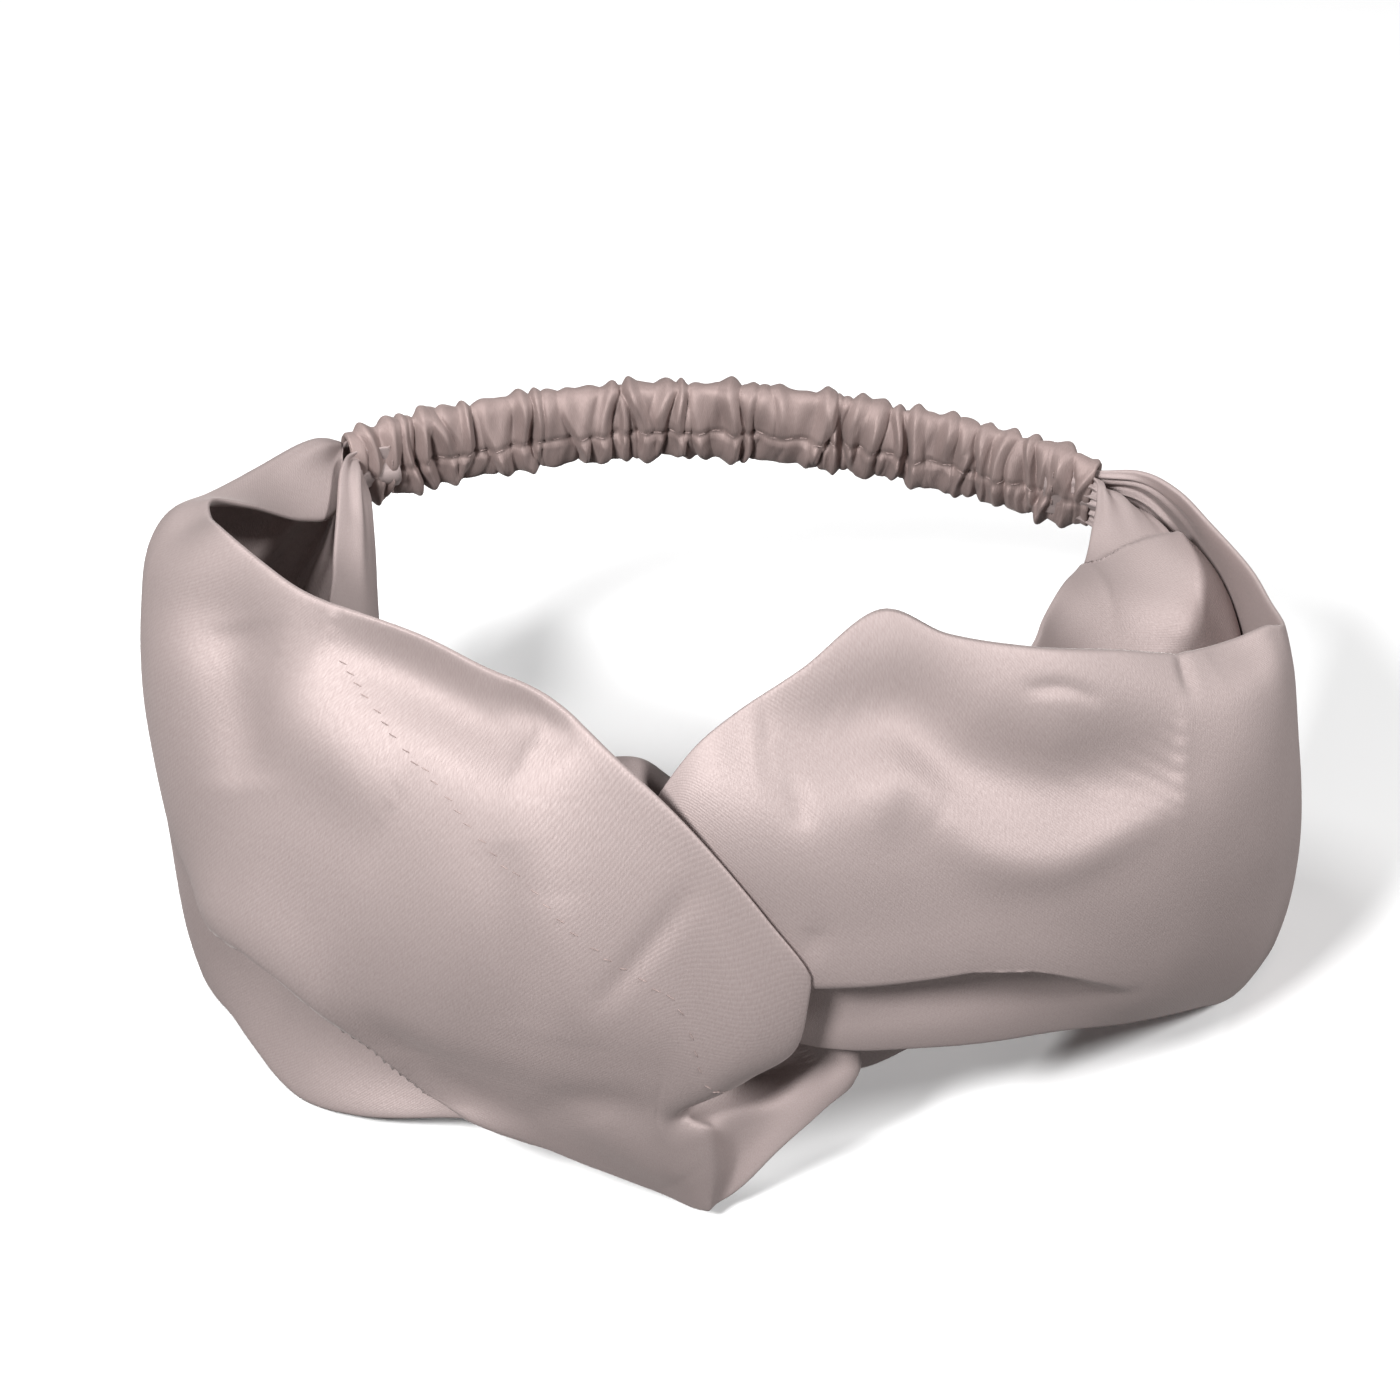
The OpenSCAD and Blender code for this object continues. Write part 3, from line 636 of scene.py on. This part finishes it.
# Raised gathers: millimetres from the left mouth, how far the gather leans from top to
# bottom, and how far it stands out at the top and at the bottom
gathers = [
    (3.6, 0.8, 1.3, 1.2), (6.6, -1.2, 1.5, 0.9), (10.4, 1.0, 0.7, 1.4), (13.4, 0.6, 1.5, 1.2),
    (16.9, 2.0, 1.2, 0.2), (20.6, -1.6, 1.4, 0.5), (26.0, 1.8, 0.2, 1.1), (31.4, 0.6, 1.6, 1.3),
    (33.6, -0.6, 1.0, 0.5), (40.8, 1.4, 0.5, 1.3), (45.6, -1.5, 1.4, 0.7), (49.0, 0.8, 0.3, 1.3),
    (52.3, 1.6, 1.4, 1.0), (55.4, -1.4, 1.5, 0.7), (59.5, 0.9, 1.3, 0.8), (62.6, 1.4, 0.4, 1.2),
    (68.4, 0.3, 1.7, 1.5), (71.0, -0.5, 0.8, 1.5), (77.5, 1.8, 0.7, 0.2), (83.8, -0.8, 1.6, 1.2),
    (86.6, 0.6, 1.0, 1.5), (89.9, 0.5, 1.5, 1.2), (93.2, -0.6, 1.2, 1.5), (97.8, 0.4, 1.5, 1.3),
    (100.9, 0.5, 1.3, 1.5), (106.8, 1.3, 1.2, 0.4), (110.4, -1.0, 0.3, 1.1), (113.6, 0.7, 1.5, 1.4),
    (116.4, -0.7, 1.2, 1.5), (122.8, 1.9, 1.5, 0.7), (126.0, -0.8, 0.4, 1.3),
    (128.8, 0.8, 1.4, 1.2), (131.8, -1.2, 1.2, 0.7), (135.4, 0.9, 1.6, 1.3),
    (138.6, 0.5, 1.0, 1.5), (141.6, -0.5, 1.4, 1.1)]
stitch_height = -0.1


def casing_swell(s, angle):
    """How far the casing's cloth stands out from a smooth tube, in millimetres."""
    q = np.cos(angle)[None, :]
    s = s[:, None]
    swell = 0.8 * np.sin(0.55 * s + 1.9 * q) * np.cos(0.21 * s - 1.1 * q)
    swell = swell + 0.3 * np.sin(1.3 * s - 2.8 * q + 0.6) * np.sin(0.4 * s)
    for number, (place, lean, high, low) in enumerate(gathers):
        bend = 0.45 * np.sin(3.1 * q + 1.7 * number) + 0.3 * np.sin(2 * angle[None, :] + number)
        away = s - (place - lean * q + bend)
        tall = low + (high - low) * ease(q, -0.5, 0.6)
        broad = 0.95 + 0.25 * math.sin(number * 2.1)
        flip = 1 if number % 3 else -1
        swell = swell + tall * np.exp(-(away / broad) ** 2)
        swell = swell - 0.85 * tall * np.exp(-np.abs(away - 1.5 * broad * flip) / 0.5)
        swell = swell - 0.35 * tall * np.exp(-np.abs(away + 1.8 * broad * flip) / 0.9)
    below = ease(-q, -stitch_height, -stitch_height + 0.2) * (1 - 0.6 * ease(-q, 0.7, 1))
    for number in range(52):
        place = 1.2 + number * 2.75 + 0.8 * math.sin(number * 2.4)
        away = s - (place + 0.6 * np.sin(3 * q + number))
        pleat = 0.4 + 0.3 * math.sin(number * 1.3)
        swell = swell + below * pleat * (np.exp(-(away / 0.7) ** 2)
                                         - np.exp(-np.abs(away - 1.0) / 0.45))
    return swell - 0.8 * np.exp(-((q - stitch_height) / 0.055) ** 2)


def casing_surface():
    """Rings of points over the casing: how far along each is, its middle, and the points."""
    along, around = 800, 84
    s = np.linspace(0, casing_length, along)
    middle = smooth_through(casing_path, casing_knots, s)
    heading = unit(np.gradient(middle, axis=0))
    up = np.broadcast_to([0.0, 0.0, 1.0], middle.shape)
    out = unit(np.cross(up, heading))
    top = unit(np.cross(heading, out))
    angle = np.linspace(0, 2 * math.pi, around, endpoint=False)
    q, side = np.cos(angle), np.sin(angle)
    tall = np.sign(q) * np.abs(q) ** 0.9
    thick = np.sign(side) * np.abs(side) ** 0.8
    swell = casing_swell(s, angle)
    mouth = (1 - ease(s, 0, 4)) + ease(s, casing_length - 4, casing_length)
    swell = swell * (1 - 0.4 * mouth[:, None])
    half_tall = 7.4 + 0.42 * swell - 0.9 * mouth[:, None]
    half_thick = 3.5 + 0.95 * np.maximum(swell, -2.6) - 0.4 * mouth[:, None]
    ring = (middle[:, None, :] + top[:, None, :] * (half_tall * tall)[..., None]
            - out[:, None, :] * (half_thick * thick)[..., None])
    return s, angle, middle, heading, ring


def elastic_casing(surface):
    s, angle, middle, heading, ring = surface
    along, around = ring.shape[:2]
    hems = []
    for end, step in ((0, 1), (along - 1, -1)):
        hem = []
        for share, inward in ((0.93, -0.4), (0.84, 0.3), (0.8, 2.0), (0.78, 6.0)):
            centre = middle[end] + heading[end] * step * inward
            hem.append(centre + (ring[end] - middle[end]) * share)
        hems.append(np.array(hem))
    rings = np.concatenate([hems[0][::-1], ring, hems[1]], axis=0)
    n = len(rings)
    k = np.arange(around)
    r = np.arange(n - 1)[:, None]
    a, b = r * around + k, r * around + (k + 1) % around
    quads = np.stack([a, b, b + around, a + around], axis=-1).reshape(-1, 4)
    walk = np.concatenate([-np.array([6.0, 2.0, 0.7, 0.3]), s,
                           casing_length + np.array([0.3, 0.7, 2.0, 6.0])]) * 1.7
    girth = angle / (2 * math.pi) * 34
    uv = np.stack(np.broadcast_arrays(walk[:, None], girth[None, :]), axis=-1)
    return add_mesh("casing_cloth", rings.reshape(-1, 3), quads.tolist(), casing_satin_painted_shade,
                    uv.reshape(-1, 2))


# ---- Elastic ----

def elastic():
    """Flat webbing inside the casing, a little wavy where the gathers press on it."""
    s = np.linspace(4.5, casing_length - 4.5, 150)
    middle = smooth_through(casing_path, casing_knots, s)
    heading = unit(np.gradient(middle, axis=0))
    up = np.array([0.0, 0.0, 1.0])
    out = unit(np.cross(up, heading))
    calm = ease(s, 10, 20) * (1 - ease(s, casing_length - 20, casing_length - 10))
    middle = middle + out * (0.25 * np.sin(s * 1.1) * calm)[:, None]
    corners = [(-4, -0.25), (-3.7, -0.42), (0, -0.45), (3.7, -0.42), (4, -0.25),
               (4, 0.25), (3.7, 0.42), (0, 0.45), (-3.7, 0.42), (-4, 0.25)]
    ring = np.stack([middle + up * h + out * t for h, t in corners], axis=1)
    around = len(corners)
    k = np.arange(around)
    r = np.arange(len(s) - 1)[:, None]
    a, b = r * around + k, r * around + (k + 1) % around
    faces = np.stack([a + around, b + around, b, a], axis=-1).reshape(-1, 4).tolist()
    end = (len(s) - 1) * around
    faces += [list(range(around)), [end + i for i in range(around)][::-1]]
    uv = np.stack(np.broadcast_arrays(s[:, None], np.array([c[0] for c in corners])[None, :]),
                  axis=-1)
    return add_mesh("elastic_webbing", ring.reshape(-1, 3), faces, webbing, uv.reshape(-1, 2))


# ---- Thread ----

def one_stitch(length, thick):
    """A short thread lying along X, with both ends narrowed where they dive into the cloth."""
    bpy.ops.mesh.primitive_cylinder_add(vertices=8, radius=thick / 2, depth=length * 0.6,
                                        location=(0, 0, 0), rotation=(0, math.pi / 2, 0))
    stitch = bpy.context.object
    bpy.ops.object.transform_apply(location=True, rotation=True, scale=True)
    bpy.ops.object.mode_set(mode="EDIT")
    bpy.ops.mesh.select_mode(type="FACE")
    for way in (1, -1):
        for step, narrow in ((length * 0.12, 0.75), (length * 0.08, 0.4)):
            bpy.ops.mesh.select_all(action="DESELECT")
            bpy.ops.object.mode_set(mode="OBJECT")
            faces = stitch.data.polygons
            tip = max(faces, key=lambda f: f.center.x * way)
            tip.select = True
            bpy.ops.object.mode_set(mode="EDIT")
            bpy.ops.mesh.extrude_region_move(
                TRANSFORM_OT_translate={"value": (way * step, 0, -thick * 0.12)})
            bpy.ops.transform.resize(value=(1, narrow, narrow))
    bpy.ops.object.mode_set(mode="OBJECT")
    bpy.ops.object.shade_smooth_by_angle(angle=math.radians(60))
    bpy.ops.object.select_all(action="DESELECT")
    return stitch


def sew(name, places, length, thick):
    """Copies of one stitch, each at (point, direction along, direction out of the cloth)."""
    pattern = one_stitch(length * MM, thick * MM)
    stitches = []
    for point, along, out in places:
        along, out = Vector(along).normalized(), Vector(out).normalized()
        across = out.cross(along).normalized()
        out = along.cross(across)
        turn = Matrix((along, across, out)).transposed().to_4x4()
        turn.translation = Vector(point) * MM
        copy = bpy.data.objects.new(name, pattern.data.copy())
        copy.data.transform(turn)
        bpy.context.collection.objects.link(copy)
        stitches.append(copy)
    bpy.data.objects.remove(pattern)
    bpy.ops.object.select_all(action="DESELECT")
    for copy in stitches:
        copy.select_set(True)
    bpy.context.view_layer.objects.active = stitches[0]
    bpy.ops.object.join()
    row = bpy.context.object
    row.name = name
    row.data.materials.append(thread)
    bpy.ops.object.select_all(action="DESELECT")
    return row


stitch_pitch = 2.4


def band_seam(name, strap, puff, rows, heights, face):
    """Stitches along a band, from one row to another; face is 1 outside and -1 inside."""
    normal = strap.facing * face
    row = strap.row()
    first, last = np.interp(rows, np.arange(len(strap.row_at)), strap.row_at)
    places = []
    for walk in np.arange(first, last, stitch_pitch):
        i = int(np.searchsorted(strap.u, walk))
        v = np.interp(row[i], rows, heights)
        j = int(np.searchsorted(strap.v, v))
        off = abs(2 * strap.v[j] - 1)
        lift = puff[i] * crown(off) + 0.03
        places.append((strap.points[i, j] + normal[i, j] * lift,
                       strap.points[i + 2, j] - strap.points[i - 2, j], normal[i, j]))
    return sew(name, places, 1.5, 0.2)


def casing_row(surface):
    """The row of stitches round both faces of the casing, sunk in their groove."""
    s, angle, middle, heading, ring = surface
    places = []
    for side in (1, -1):
        turn = math.acos(stitch_height) * side % (2 * math.pi)
        j = int(round(turn / (2 * math.pi) * len(angle)))
        for walk in np.arange(3.0, casing_length - 3, 2.6):
            i = int(np.searchsorted(s, walk))
            point = ring[i, j]
            along = ring[i + 3, j] - ring[i - 3, j]
            out = point - middle[i]
            out[2] = 0
            places.append((point + 0.1 * unit(out), along, out))
    return sew("casing_stitches", places, 1.6, 0.24)


def join_row(name, surface, walk):
    """The stitches that close one mouth of the casing over the bands' ends."""
    s, angle, middle, heading, ring = surface
    i = int(np.searchsorted(s, walk))
    places = []
    for side in (1, -1):
        for q in (-0.55, -0.2, 0.15, 0.5):
            turn = math.acos(q) * side % (2 * math.pi)
            j = int(round(turn / (2 * math.pi) * len(angle)))
            point = ring[i, j]
            out = point - middle[i]
            out[2] = 0
            places.append((point + 0.1 * unit(out), (0, 0, 1), out))
    return sew(name, places, 1.3, 0.26)


left_cloth, left_strap, left_puff = left_band()
right_cloth, right_strap, right_puff = right_band()
casing = casing_surface()
casing_cloth = elastic_casing(casing)
webbing_strip = elastic()
left_seam = band_seam("left_band_stitches", left_strap, left_puff, (10, 16.8), (0.93, 0.62), 1)
right_seam = band_seam("right_band_stitches", right_strap, right_puff, (8, 15.5), (0.5, 0.5), -1)
casing_seam = casing_row(casing)
left_join = join_row("left_join_thread", casing, 6.2)
right_join = join_row("right_join_thread", casing, casing_length - 6.2)


# ---- Stage and light ----

band_middle = Vector((0, 0, 0.05))


def floor():
    bpy.ops.mesh.primitive_plane_add(size=6, location=(0, 0, -0.0008))
    ground = bpy.context.object
    ground.name = "floor"
    material, nodes, links, surface = shader("pale_floor", (0.9, 0.9, 0.9), 0.9)
    surface.inputs["Specular IOR Level"].default_value = 0.1
    path = nodes.new("ShaderNodeLightPath")  # pale to look at, but it throws little light back
    links.new(mix_colour(nodes, links, path.outputs["Is Camera Ray"], (0.2, 0.2, 0.2),
                         (0.93, 0.93, 0.93)), surface.inputs["Base Color"])
    ground.data.materials.append(material)


def lamp(name, place, size, power):
    data = bpy.data.lights.new(name, "AREA")
    data.shape = "DISK"
    data.size = size
    data.energy = power
    light = bpy.data.objects.new(name, data)
    light.location = place
    light.rotation_euler = (band_middle - Vector(place)).to_track_quat("-Z", "Y").to_euler()
    bpy.context.collection.objects.link(light)


floor()
lamp("key", (-0.4, -0.56, 0.66), 0.22, 12.5)
lamp("top_left", (-0.35, 0.3, 0.8), 0.3, 3)
lamp("right", (0.72, -0.2, 0.58), 0.22, 6.5)
world = bpy.data.worlds.new("studio")
world.use_nodes = True
world.node_tree.nodes["Background"].inputs["Color"].default_value = (1, 1, 1, 1)
world.node_tree.nodes["Background"].inputs["Strength"].default_value = 0.09
bpy.context.scene.world = world
bpy.context.scene.view_settings.view_transform = "Standard"


# ---- Bodies, baked transforms and the hidden CAD parts ----

knot_left, knot_right = (-0.04, -0.053, 0.045), (0.04, -0.053, 0.045)
mouth_left, mouth_right = (-0.064, 0.05, 0.066), (0.064, 0.05, 0.066)
# The bands' cut is assumed: full width for its middle part, narrowing to both ends. A plain
# rectangle would have cloth folded away in the knot and the mouths, which isn't modelled.
for piece, first, second in ((left_cloth, knot_left, knot_right),
                             (right_cloth, knot_left, knot_right),
                             (left_seam, knot_left, knot_right),
                             (right_seam, knot_left, knot_right),
                             (casing_cloth, mouth_left, mouth_right),
                             (casing_seam, mouth_left, mouth_right),
                             (webbing_strip, mouth_left, mouth_right)):
    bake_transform(piece)
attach(left_join, "left_side")
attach(right_join, "right_side")
for piece, node, slot in ((left_cloth, "left_band", "satin"),
                          (right_cloth, "right_band", "satin"),
                          (casing_cloth, "elastic_casing", "gathered_satin"),
                          (webbing_strip, "elastic", "webbing"),
                          (left_seam, "left_band_seam", "thread"),
                          (right_seam, "right_band_seam", "thread"),
                          (casing_seam, "casing_seam", "thread"),
                          (left_join, "left_join_stitches", "thread"),
                          (right_join, "right_join_stitches", "thread")):
    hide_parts(node)
